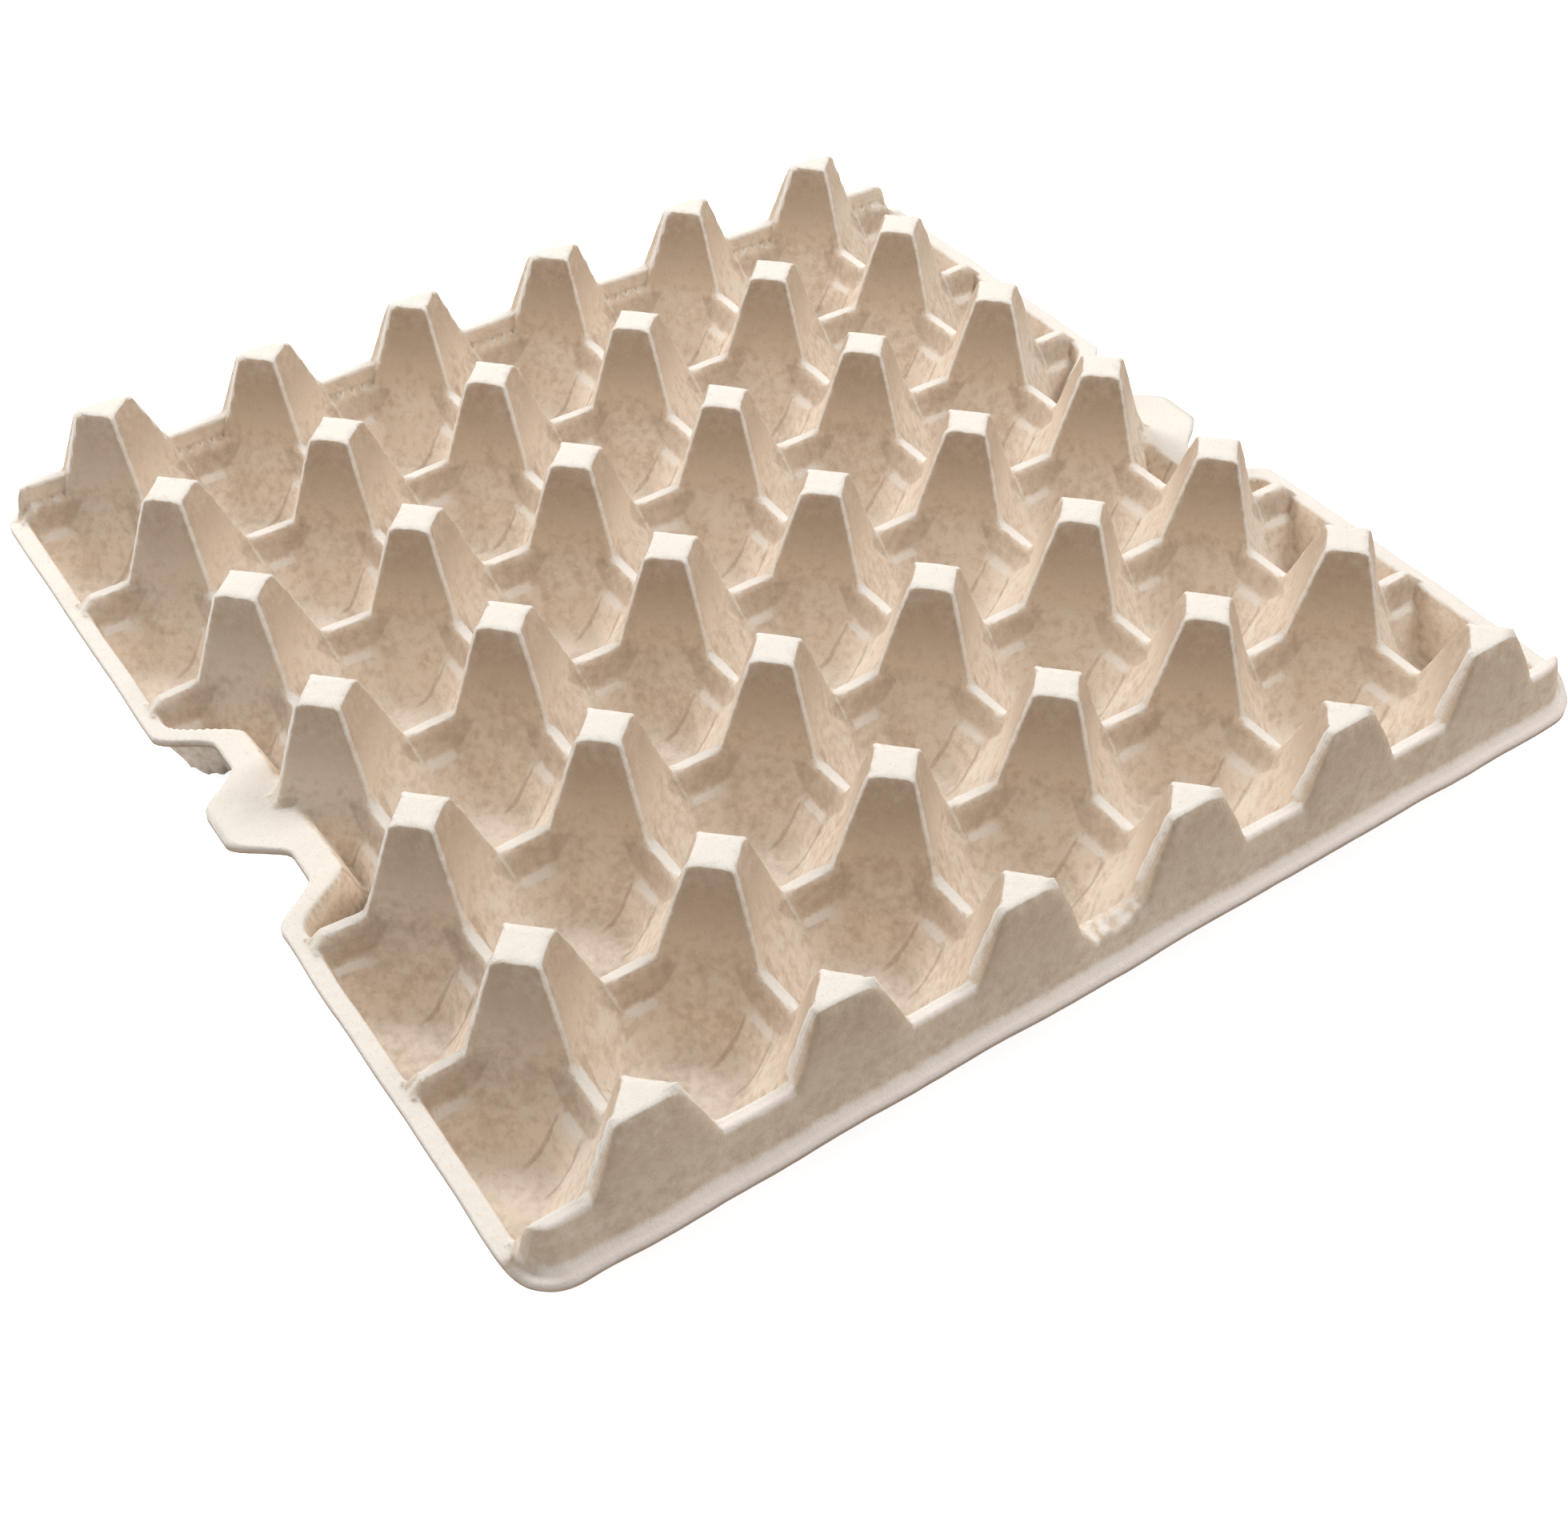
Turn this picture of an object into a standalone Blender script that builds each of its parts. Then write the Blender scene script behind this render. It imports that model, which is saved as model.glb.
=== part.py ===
import math

import bmesh
import bpy
import numpy as np
from mathutils import Vector
from mathutils.geometry import delaunay_2d_cdt

# Moulded pulp egg tray: thirty cups between forty-two hollow posts, one skin of pulp throughout.
# The skin is a height over the plan, so that it leaves its mould. Every drop is measured down
# from the flat post tops, X runs along the post rows and Y across them, in metres.

# Post grid
PITCH = 0.0465
COLUMNS = 6
ROWS = 7

# Posts and the ridges that run down from their four corners
POST_TIP = 0.0073
RIDGE_FOOT = 0.0164
CREST_HALF = 0.0006

# Saddle bars between the posts, and the step beside each bar
BAR_DROP = 0.0230
BAR_HALF = 0.0015
RISER_FOOT = 0.0041
LEDGE_DROP = 0.0313
LEDGE_INNER = 0.0056
LEDGE_FALL = 0.0005

# Cups: the radius of the wall at the level of the bars, how far it comes in down to the ledge, and
# the ledge's own width, inside which the round bowl begins
CUP_RADIUS = 0.0223
CUP_RISER_RUN = 0.0020
CUP_LEDGE_WIDTH = 0.0002
FLOOR_RADIUS = 0.0076
FLOOR_DROP = 0.0435
BOWL_BEND = 2.0

# Skin of pulp
WALL = 0.0020

# Front and back sides: the outer posts are cut past their middle and a raised bar joins them.
# One shoulder of each cut post is rounded, with a drop that grows with the square of its length.
POST_CUT = 0.00245
EDGE_BAR_DROP = 0.0176
EDGE_RISER = 0.0006
OUTER_WALL_RUN = 0.0037
CORNER_RADIUS = 0.0050
SHOULDER_FROM = 0.0020
SHOULDER_RUN = 0.0105

# Ragged tear in one front edge bar: places along X and how far the bar has come down there
TEAR_X = (-0.0125, -0.0098, -0.0062, -0.0030, 0.0008, 0.0042, 0.0078, 0.0100)
TEAR_DROP = (0.0, 0.0032, 0.0056, 0.0042, 0.0066, 0.0048, 0.0028, 0.0)

# Left and right sides: half cups closed by a wall, under a level rim
CUP_CUT = 0.0054
END_WALL_RUN = 0.0025
TAB_WALL_RUN = 0.0060
BAR_RAMP = 0.0040
LIP_INSET = 0.0015

# Flange round the whole tray, lower along the front and back than along the other two sides
FLANGE_DROP = 0.0264
EDGE_FLANGE_DROP = 0.0290
FLANGE_WIDTH = 0.0039
RIM_WIDTH = 0.0047
OUTLINE_RADIUS = 0.0120

# Grip tab in the middle of the left and right sides, between two finger scallops
TAB_TIP_HALF = 0.0055
TAB_ROOT_HALF = 0.0175
TAB_SHORT = 0.0008
SCALLOP_DEPTH = 0.0120
SCALLOP_END = 0.0265
SHOULDER_END = 0.0380
WEB_WIDTH = 0.0082
WEB_RAMP = 0.0014

# Pulp
PULP_COLOUR = (0.62, 0.53, 0.42, 1.0)
PULP_ROUGHNESS = 0.95

# Values that follow from the sizes above
HALF_PITCH = PITCH / 2
CUP_AT_LEDGE = CUP_RADIUS - CUP_RISER_RUN
BOWL_RADIUS = CUP_AT_LEDGE - CUP_LEDGE_WIDTH
POST_REACH_X = (COLUMNS - 1) * HALF_PITCH
POST_REACH_Y = (ROWS - 1) * HALF_PITCH
CUT_LINE_Y = POST_REACH_Y + POST_CUT
RIM_INNER_X = POST_REACH_X + HALF_PITCH + CUP_CUT
LIP_END_X = RIM_INNER_X - LIP_INSET
OUTLINE_X = RIM_INNER_X + RIM_WIDTH
OUTLINE_Y = CUT_LINE_Y + OUTER_WALL_RUN + FLANGE_WIDTH
LIP_START = POST_TIP + (RIDGE_FOOT - POST_TIP) * EDGE_BAR_DROP / BAR_DROP
SAME_PLACE = 1e-5


def ease(value):
    """Smooth step from 0 to 1."""
    value = np.clip(value, 0.0, 1.0)
    return value * value * (3 - 2 * value)


def crest_drop(distance):
    """Drop of a ridge line at a distance from its post's middle."""
    return np.interp(distance, [POST_TIP, RIDGE_FOOT], [0.0, BAR_DROP])


def from_cup(position, count):
    """Distance from the middle line of the nearest row of cups, for one plan direction."""
    across = position / PITCH + (count - 1) / 2
    return np.abs(across - np.floor(across) - 0.5) * PITCH


def from_post(position, count):
    """Distance from the nearest line of posts, with none beyond the last line."""
    inside = HALF_PITCH - from_cup(position, count)
    past = np.abs(position) - (count - 1) * HALF_PITCH
    return np.where(past > 0, past, inside)


def cup_drop(across_x, across_y):
    """Drop of one cup and its share of posts and bars, at distances from the cup's middle."""
    far = np.maximum(across_x, across_y)
    near = np.minimum(across_x, across_y)
    radius = np.hypot(far, near)
    angle = np.arctan2(near, far)
    cosine = np.cos(angle)

    # Radii along this direction at which the surface changes
    post_edge = (2 * HALF_PITCH - POST_TIP) / (cosine + np.sin(angle))
    side_edge = (HALF_PITCH - CREST_HALF) / cosine
    outer = np.minimum(post_edge, side_edge)
    bar_edge = np.minimum((HALF_PITCH - BAR_HALF) / cosine, CUP_RADIUS)
    riser_foot = np.minimum((HALF_PITCH - RISER_FOOT) / cosine, CUP_AT_LEDGE)
    ledge_inner = np.minimum((HALF_PITCH - LEDGE_INNER) / cosine, BOWL_RADIUS)

    crest = crest_drop(HALF_PITCH - HALF_PITCH * np.tan(angle))
    outer_drop = np.where(post_edge < side_edge, 0.0, crest)
    bowl_share = np.clip((radius - FLOOR_RADIUS) / (ledge_inner - FLOOR_RADIUS), 0.0, 1.0)
    bowl_rise = FLOOR_DROP - LEDGE_DROP - LEDGE_FALL
    drop = FLOOR_DROP - bowl_rise * bowl_share ** BOWL_BEND

    ledge_share = np.clip((radius - ledge_inner) / (riser_foot - ledge_inner), 0.0, 1.0)
    drop = drop - LEDGE_FALL * ledge_share
    riser_share = np.clip((radius - riser_foot) / (bar_edge - riser_foot), 0.0, 1.0)
    drop = drop - (LEDGE_DROP - BAR_DROP) * riser_share
    flank_share = np.clip((radius - bar_edge) / (outer - bar_edge), 0.0, 1.0)
    return drop - (BAR_DROP - outer_drop) * flank_share


def beside_tab(y):
    """Share of the grip tab's part of a side: 1 at the tab, 0 past its shoulders."""
    return 1 - ease((y - SCALLOP_END) / (SHOULDER_END + 0.4 * WEB_WIDTH - SCALLOP_END))


def rim_inner(y):
    """Distance from the middle plane to the inner edge of the left and right rims."""
    drawn_in = RIM_INNER_X - OUTLINE_X + SCALLOP_DEPTH + WEB_WIDTH
    return RIM_INNER_X - beside_tab(y) * drawn_in


def end_wall_run(y):
    """Run of the end walls of the half cups, which lean more beside the tab."""
    return END_WALL_RUN + beside_tab(y) * (TAB_WALL_RUN - END_WALL_RUN)


def flange_drop(y):
    """Drop of the flange, which comes down round the corners to the front and back."""
    turned = (y - (OUTLINE_Y - OUTLINE_RADIUS)) / (OUTLINE_RADIUS - FLANGE_WIDTH)
    return FLANGE_DROP + (EDGE_FLANGE_DROP - FLANGE_DROP) * ease(turned)


def wall_out(drop):
    """How far the outer wall stands out from its top at a drop."""
    return OUTER_WALL_RUN * drop / EDGE_FLANGE_DROP


def edge_drop(x, y):
    """Drop along the outer edge: cut posts, each with one rounded shoulder, and the bars."""
    nearest = np.clip(np.round((x + POST_REACH_X) / PITCH), 0, COLUMNS - 1) * PITCH - POST_REACH_X
    offset = x - nearest
    along = np.clip(offset - SHOULDER_FROM, 0.0, None) / SHOULDER_RUN
    rounded = EDGE_BAR_DROP * along ** 2
    edge = np.where(offset > 0, rounded, crest_drop(-offset))
    tear = np.where(y < 0, np.interp(x, TEAR_X, TEAR_DROP), 0.0)
    return np.minimum(edge, EDGE_BAR_DROP) + tear


def side_edge(y):
    """Distance from the middle plane to the trimmed edge of the left and right sides."""
    shoulder = ease((y - SCALLOP_END) / (SHOULDER_END - SCALLOP_END))
    tab = ease((TAB_ROOT_HALF - y) / (TAB_ROOT_HALF - TAB_TIP_HALF))
    reach = OUTLINE_X - SCALLOP_DEPTH
    return reach + SCALLOP_DEPTH * shoulder + (SCALLOP_DEPTH - TAB_SHORT) * tab


def top_drop(x, y):
    """Drop of the upper face of the skin at any place in the plan."""
    edge = edge_drop(x, y)
    x = np.abs(x)
    y = np.abs(y)
    flange = flange_drop(y)
    drop = cup_drop(from_cup(x, COLUMNS), from_cup(y, ROWS))

    # End walls of the half cups, the rim above them and the bars that run down to it
    inner = rim_inner(y)
    wall_slope = (FLOOR_DROP - flange) / end_wall_run(y)
    wall = flange + np.clip(inner - x, 0.0, None) * wall_slope
    drop = np.minimum(drop, wall)
    at_tab = y < HALF_PITCH * 0.8
    ramp_start = np.where(at_tab, POST_REACH_X + RIDGE_FOOT, RIM_INNER_X - BAR_RAMP / 2)
    ramp_run = np.where(at_tab, WEB_RAMP, BAR_RAMP)
    ramp = BAR_DROP + (x - ramp_start) * (flange - BAR_DROP) / ramp_run
    ramp = np.where(x > ramp_start, np.minimum(ramp, flange), 0.0)
    drop = np.maximum(drop, ramp)

    # Front and back strip: half posts, raised edge bars, and the outer wall down to the flange
    crest = np.maximum(crest_drop(from_post(x, COLUMNS)), ramp)
    rise = np.clip((y - POST_REACH_Y) / EDGE_RISER, 0.0, 1.0)
    fall = np.clip((y - POST_REACH_Y) / POST_CUT, 0.0, 1.0)
    strip = crest + np.where(edge < crest, rise, fall) * (edge - crest)
    past_x = np.maximum(x - (LIP_END_X - CORNER_RADIUS), 0.0)
    past_y = np.maximum(y - (CUT_LINE_Y - CORNER_RADIUS), 0.0)
    outside = np.hypot(past_x, past_y) - CORNER_RADIUS
    strip = np.maximum(strip, outside * EDGE_FLANGE_DROP / OUTER_WALL_RUN)
    strip = np.minimum(strip, flange)
    return np.where(y > POST_REACH_Y, strip, drop)


def under_drop(x, y):
    """Drop of the underside: the lowest place that a ball of the wall's radius reaches."""
    lowest = top_drop(x, y) + WALL
    for reach in (0.5, 0.85, 1.0):
        for step in range(16):
            angle = step * math.tau / 16
            ahead = reach * WALL
            shifted = top_drop(x + ahead * math.cos(angle), y + ahead * math.sin(angle))
            lowest = np.maximum(lowest, shifted + WALL * math.sqrt(1 - reach * reach))
    return np.minimum(lowest, FLOOR_DROP + WALL)


def mirrored(points):
    """The points of one octant of a cup's ring, repeated round the whole ring."""
    quarter = points + [(y, x) for x, y in reversed(points) if abs(x - y) > SAME_PLACE]
    ring = []
    for turn in range(4):
        for x, y in quarter:
            for _ in range(turn):
                x, y = -y, x
            ring.append((x, y))
    return ring


def cup_rings():
    """Rings of one cup from the bars inward, each with its inset from an end wall's top."""
    bar_x = HALF_PITCH - BAR_HALF
    foot_x = HALF_PITCH - RISER_FOOT
    ledge_x = HALF_PITCH - LEDGE_INNER
    bowl_mid = (BOWL_RADIUS + FLOOR_RADIUS) / 2
    half = math.sqrt(0.5)
    eighth = math.pi / 8

    def line_meets(side, radius):
        return math.sqrt(max(radius * radius - side * side, (0.4 * side) ** 2))

    return [
        (0.12, mirrored([(bar_x, line_meets(bar_x, CUP_RADIUS)), (CUP_RADIUS * half,) * 2])),
        (0.30, mirrored([(foot_x, line_meets(foot_x, CUP_AT_LEDGE)), (CUP_AT_LEDGE * half,) * 2])),
        (0.42, mirrored([(ledge_x, line_meets(ledge_x, BOWL_RADIUS)), (BOWL_RADIUS * half,) * 2])),
        (0.70, mirrored([(bowl_mid * math.cos(eighth), bowl_mid * math.sin(eighth))])),
        (1.00, mirrored([(FLOOR_RADIUS * math.cos(eighth), FLOOR_RADIUS * math.sin(eighth))])),
    ]


class Plan:
    """Points and lines of the tray in plan, each point kept once."""

    def __init__(self):
        self.points = []
        self.edges = []
        self.places = {}

    def point(self, x, y):
        key = (round(x / SAME_PLACE), round(y / SAME_PLACE))
        if key not in self.places:
            self.places[key] = len(self.points)
            self.points.append(Vector((x, y)))
        return self.places[key]

    def line(self, points, closed=False):
        indices = [self.point(x, y) for x, y in points]
        ends = indices[1:] + indices[:1] if closed else indices[1:]
        self.edges += [(a, b) for a, b in zip(indices, ends) if a != b]
        return indices


def post_grid(plan):
    """Post tops and the ridge and bar lines that join them."""
    columns = [-POST_REACH_X + PITCH * i for i in range(COLUMNS)]
    rows = [-POST_REACH_Y + PITCH * i for i in range(ROWS)]
    stations = [0.0, POST_TIP, RIDGE_FOOT, PITCH - RIDGE_FOOT, PITCH - POST_TIP, PITCH]
    middle = POST_TIP / 2
    for y in rows:
        for x in columns[:-1]:
            plan.line([(x + s, y) for s in stations])
        for side in (-1, 1):
            ends = [0.0, POST_TIP, RIDGE_FOOT]
            ends += [RIM_INNER_X - BAR_RAMP / 2 - POST_REACH_X] if abs(y) > HALF_PITCH else []
            plan.line([(side * (POST_REACH_X + s), y) for s in ends])
    for x in columns:
        for y in rows[:-1]:
            plan.line([(x, y + s) for s in stations])
        for y in rows:
            tips = [(POST_TIP, 0.0), (middle, middle), (0.0, POST_TIP), (-middle, middle)]
            tips += [(-u, -v) for u, v in tips]
            inside = [(x + u, y + v) for u, v in tips if abs(y + v) < POST_REACH_Y + SAME_PLACE]
            if len(inside) == len(tips):
                plan.line(inside, closed=True)
            else:
                inside.sort()
                plan.line(inside)


def cups(plan):
    """Rings of every cup, with those of the half cups stopped at their end walls."""
    rings = cup_rings()
    for column in range(COLUMNS + 1):
        middle_x = (column - COLUMNS / 2) * PITCH
        for row in range(ROWS - 1):
            middle_y = (row - (ROWS - 2) / 2) * PITCH
            for inset, ring in rings:
                points = []
                for u, v in ring:
                    x = middle_x + u
                    y = middle_y + v
                    limit = rim_inner(abs(y)) - inset * end_wall_run(abs(y))
                    points.append((math.copysign(min(abs(x), limit), x), y))
                plan.line(points, closed=True)


def rims(plan):
    """Inner edges of the left and right rims, and the step that the bars make on them."""
    bend = np.linspace(SCALLOP_END, SHOULDER_END + 0.4 * WEB_WIDTH, 6)
    stations = [RISER_FOOT] + list(bend)
    stations += [HALF_PITCH * 2 - BAR_HALF, HALF_PITCH * 2 + BAR_HALF]
    for row in range(ROWS):
        y = (row - (ROWS - 1) / 2) * PITCH
        if y > PITCH + SAME_PLACE:
            stations += [y - RISER_FOOT, y - BAR_HALF]
            stations += [y + BAR_HALF, y + RISER_FOOT] if row < ROWS - 1 else []
    for side in (-1, 1):
        for end in (-1, 1):
            plan.line([(side * float(rim_inner(y)), end * y) for y in stations])


def edge_strip(plan):
    """Raised edge bars, cut posts and outer wall of the front and back sides."""
    shoulder = [SHOULDER_FROM + SHOULDER_RUN * share for share in (0.0, 0.25, 0.5, 0.75, 1.0)]
    stations = []
    for column in range(COLUMNS):
        post = -POST_REACH_X + PITCH * column
        stations += [post - LIP_START, post - POST_TIP] + [post + s for s in shoulder]
    end_x = LIP_END_X - CORNER_RADIUS
    middle_y = CUT_LINE_Y - CORNER_RADIUS

    def corner(drop_at, steps=4):
        places = []
        for step in range(steps + 1):
            angle = math.pi / 2 * step / steps
            foot_y = middle_y + (CORNER_RADIUS + OUTER_WALL_RUN) * math.cos(angle)
            reach = CORNER_RADIUS + wall_out(drop_at(foot_y))
            places.append((end_x + reach * math.sin(angle), middle_y + reach * math.cos(angle)))
        return places

    around = [p for p in corner(lambda y: EDGE_BAR_DROP) if p[1] > POST_REACH_Y + EDGE_RISER]
    foot = [p for p in corner(flange_drop) if p[1] > POST_REACH_Y]
    riser_y = POST_REACH_Y + EDGE_RISER
    riser_end = around[-1][0] - EDGE_RISER
    for side in (-1, 1):
        xs = sorted(stations + (list(TEAR_X) if side < 0 else []))
        xs = [x for x in xs if abs(x) < end_x]
        line = [(x, CUT_LINE_Y + wall_out(float(edge_drop(x, side)))) for x in xs]
        line = [(-x, y) for x, y in reversed(around)] + line + around
        plan.line([(x, side * y) for x, y in line])
        loop = [(-x, y) for x, y in reversed(foot)] + foot
        plan.line([(x, side * y) for x, y in loop])
        plan.line([(x, side * riser_y) for x in [-riser_end] + xs + [riser_end]])


def outline():
    """Trimmed edge of the tray, counter-clockwise."""
    tab = list(np.linspace(TAB_TIP_HALF, TAB_ROOT_HALF, 6))
    shoulder = list(np.linspace(SCALLOP_END, SHOULDER_END, 6))
    straight = OUTLINE_Y - OUTLINE_RADIUS
    right = [(float(side_edge(y)), y) for y in tab + shoulder]
    turn = [math.pi / 2 * i / 5 for i in range(6)]
    middle_x = OUTLINE_X - OUTLINE_RADIUS
    corner = [(middle_x + OUTLINE_RADIUS * math.cos(a), straight + OUTLINE_RADIUS * math.sin(a))
              for a in turn]
    quarter = right + corner
    half = [(x, -y) for x, y in reversed(quarter)] + quarter
    return half + [(-x, -y) for x, y in half]


def build_skin():
    """Upper face and underside over one net of triangles, closed round the trimmed edge."""
    plan = Plan()
    post_grid(plan)
    cups(plan)
    rims(plan)
    edge_strip(plan)
    border = [plan.point(x, y) for x, y in outline()]
    net = delaunay_2d_cdt(plan.points, plan.edges, [border], 1, 1e-7)
    flat, triangles = net[0], net[2]

    x = np.array([p.x for p in flat])
    y = np.array([p.y for p in flat])
    height = FLOOR_DROP + WALL
    top = height - top_drop(x, y)
    under = height - under_drop(x, y)

    shell = bmesh.new()
    upper = [shell.verts.new(p) for p in zip(x, y, top)]
    lower = [shell.verts.new(p) for p in zip(x, y, under)]
    directed = set()
    for a, b, c in triangles:
        shell.faces.new((upper[a], upper[b], upper[c]))
        shell.faces.new((lower[a], lower[c], lower[b]))
        directed.update(((a, b), (b, c), (c, a)))
    for a, b in sorted(directed):
        if (b, a) not in directed:
            shell.faces.new((upper[b], upper[a], lower[a], lower[b]))
    loose = [v for v in shell.verts if not v.link_faces]
    bmesh.ops.delete(shell, geom=loose, context="VERTS")
    return shell


def pulp():
    """Dry grey-brown moulded pulp."""
    material = bpy.data.materials.new("pulp")
    material.use_nodes = True
    shader = material.node_tree.nodes["Principled BSDF"]
    shader.inputs["Base Color"].default_value = PULP_COLOUR
    shader.inputs["Roughness"].default_value = PULP_ROUGHNESS
    shader.inputs["Metallic"].default_value = 0.0
    return material


def main():
    for item in list(bpy.data.objects):
        bpy.data.objects.remove(item, do_unlink=True)
    mesh = bpy.data.meshes.new("tray")
    shell = build_skin()
    shell.to_mesh(mesh)
    shell.free()
    mesh.shade_smooth()
    mesh.set_sharp_from_angle(angle=math.radians(40))
    mesh.materials.append(pulp())
    tray = bpy.data.objects.new("tray", mesh)
    bpy.context.scene.collection.objects.link(tray)


main()
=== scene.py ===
import math

import bpy
import numpy as np
from mathutils import Matrix, Vector
from mathutils.geometry import delaunay_2d_cdt


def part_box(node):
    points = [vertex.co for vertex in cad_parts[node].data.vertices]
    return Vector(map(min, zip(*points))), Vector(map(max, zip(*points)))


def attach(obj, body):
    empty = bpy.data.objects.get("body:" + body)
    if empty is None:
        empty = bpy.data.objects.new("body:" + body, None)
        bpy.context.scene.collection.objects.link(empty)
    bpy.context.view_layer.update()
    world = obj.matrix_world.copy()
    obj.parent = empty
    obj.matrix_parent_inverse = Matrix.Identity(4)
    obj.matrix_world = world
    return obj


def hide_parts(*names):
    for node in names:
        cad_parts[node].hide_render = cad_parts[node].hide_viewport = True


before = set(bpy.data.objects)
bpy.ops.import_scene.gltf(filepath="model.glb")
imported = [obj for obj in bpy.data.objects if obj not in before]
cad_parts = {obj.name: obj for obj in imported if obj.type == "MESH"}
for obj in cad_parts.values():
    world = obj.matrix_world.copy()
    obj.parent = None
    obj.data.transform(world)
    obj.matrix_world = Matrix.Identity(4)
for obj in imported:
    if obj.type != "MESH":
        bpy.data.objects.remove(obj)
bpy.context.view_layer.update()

trayLow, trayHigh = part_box("tray")
print("frame loaded")

# The tray's sizes in metres. Drops are measured down from the flat post tops.
trayShape = {
    "pitch": 0.0465,  # between cups
    "columns": 6,  # posts along X
    "rows": 7,  # posts along Y
    "postTip": 0.0073,  # post's middle to a corner of its top
    "tipRound": 0.0008,  # half the length over which a post's top rounds into its ridge
    "ridgeFoot": 0.0164,  # post's middle to where the ridge meets the bar
    "crestHalf": 0.0006,
    "barDrop": 0.0230,
    "barHalf": 0.0015,
    "riserFoot": 0.0041,
    "ledgeDrop": 0.0313,
    "ledgeInner": 0.0056,
    "ledgeFall": 0.0005,
    "cupAtLedge": 0.0170,  # cup's middle to a post's face, at the ledge and where the bowl begins
    "bowlReach": 0.0167,
    "floorReach": 0.0100,
    "floorPower": 5.0,  # how square the floor is, with its corners under the bars
    "floorDrop": 0.0435,
    "bowlBend": 1.3,
    "wall": 0.0020,
    "postCut": 0.00245,  # how far past their middle the outer posts are cut
    "edgeBarDrop": 0.0176,
    "edgeRiser": 0.0006,
    "outerWallRun": 0.0037,
    "wallFillet": 0.0090,  # height over which the outer wall turns into the flange
    "lipRound": 0.0013,  # radius of the edge between the outer posts or bars and the outer wall
    "lipTurn": 0.995,  # share of that radius, which keeps the edge short of upright
    "lipRadius": 0.0050,
    "lipInset": 0.0015,
    "shoulderFrom": 0.0020,  # where the rounded shoulder of a cut post begins and how far it runs
    "shoulderRun": 0.0125,
    "tearX": (-0.0125, -0.0112, -0.0098, -0.0081, -0.0062, -0.0048, -0.0030, -0.0012, 0.0008,
              0.0026, 0.0042, 0.0060, 0.0078, 0.0100),  # ragged tear in one edge bar
    "tearDrop": (0.0, 0.0022, 0.0032, 0.0030, 0.0056, 0.0060, 0.0042, 0.0049, 0.0066, 0.0050,
                 0.0048, 0.0020, 0.0028, 0.0),
    "cupCut": 0.0054,  # how far past their middle the half cups end
    "endWallRun": 0.0025,
    "tabWallRun": 0.0060,  # the end walls lean more beside the tab
    "barRamp": 0.0040,
    "webRamp": 0.0014,
    "flangeDrop": 0.0264,
    "edgeFlangeDrop": 0.0290,  # along the front and back
    "flangeWidth": 0.0039,
    "outlineRadius": 0.0120,
    "tabTipHalf": 0.0055,
    "tabRootHalf": 0.0175,
    "tabShort": 0.0008,
    "scallopDepth": 0.0120,
    "scallopEnd": 0.0265,
    "shoulderEnd": 0.0380,
    "webWidth": 0.0082,
    "webBlend": 0.4,  # share of the web over which the rim turns back past the shoulder
    "tabBarHalf": 0.8,  # share of half a pitch within which a bar ends at the tab
}

# How the pulp softens every edge, and how the skin wanders as it dries
trayFinish = {
    "softRadius": 0.00060,
    "creaseDiscRadius": 0.0008,  # disc whose mean the skin is compared with, to find the creases where shade is painted
    "discReaches": (0.5, 1.0),  # circles of a disc, as shares of its radius
    "discSteps": 6,
    "discMiddle": 2,  # weight of the disc's middle
    "ballReaches": (0.5, 0.87, 1.0),  # circles of the ball that gives the wall its thickness
    "ballSteps": 12,
    "waveCount": 12,
    "waveSpread": (0.7, 0.8),  # shortest wave as a share of the length, and what is added to it
    "sag": 0.00030,  # slow rise and fall, and how long its waves are
    "sagLength": 0.060,
    "sagSeed": 3,
    "lumps": 0.00010,
    "lumpLength": 0.0080,
    "lumpSeed": 5,
    "drift": 0.00035,  # posts and bars out of line in plan
    "driftLength": 0.030,
    "driftSeeds": (7, 8),
    "edgeWander": 0.0004,  # along the trimmed outline
}

pitch = trayShape["pitch"]
halfPitch = pitch / 2
postReachX = (trayShape["columns"] - 1) * halfPitch
postReachY = (trayShape["rows"] - 1) * halfPitch
cutLineY = postReachY + trayShape["postCut"]
rimInnerX = postReachX + halfPitch + trayShape["cupCut"]
lipEndX = rimInnerX - trayShape["lipInset"]
outlineX = trayHigh[0]
outlineY = trayHigh[1]
trayHeight = trayHigh[2]


def ease(t):
    # smooth step: 3t^2 - 2t^3 between 0 and 1
    t = np.clip(t, 0.0, 1.0)
    return t * t * (3 - 2 * t)


def softLeast(first, second, band):
    # the lesser of two drops, less (band - gap)^2 / 4 band wherever the gap between them is
    # under a band
    overlap = np.clip(band - np.abs(first - second), 0.0, None)
    return np.minimum(first, second) - overlap ** 2 / (4 * band)


def crestDrop(distance):
    # ridge line: level over the post top, then straight down to the bar, and where the two meet
    # the parabola (distance past the tip + band)^2 / 4 band
    s = trayShape
    past = distance - s["postTip"]
    band = s["tipRound"]
    rounded = np.where(np.abs(past) < band, (past + band) ** 2 / (4 * band), np.maximum(past, 0.0))
    return np.minimum(rounded * s["barDrop"] / (s["ridgeFoot"] - s["postTip"]), s["barDrop"])


def fromCup(position, count):
    # distance to the nearest middle line of cups: a triangle wave one pitch long
    across = position / pitch + (count - 1) / 2
    return np.abs(across - np.floor(across) - 0.5) * pitch


def fromPost(position, count):
    # distance to the nearest line of posts, growing without end past the last line
    past = np.abs(position) - (count - 1) * halfPitch
    return np.where(past > 0, past, halfPitch - fromCup(position, count))


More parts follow.
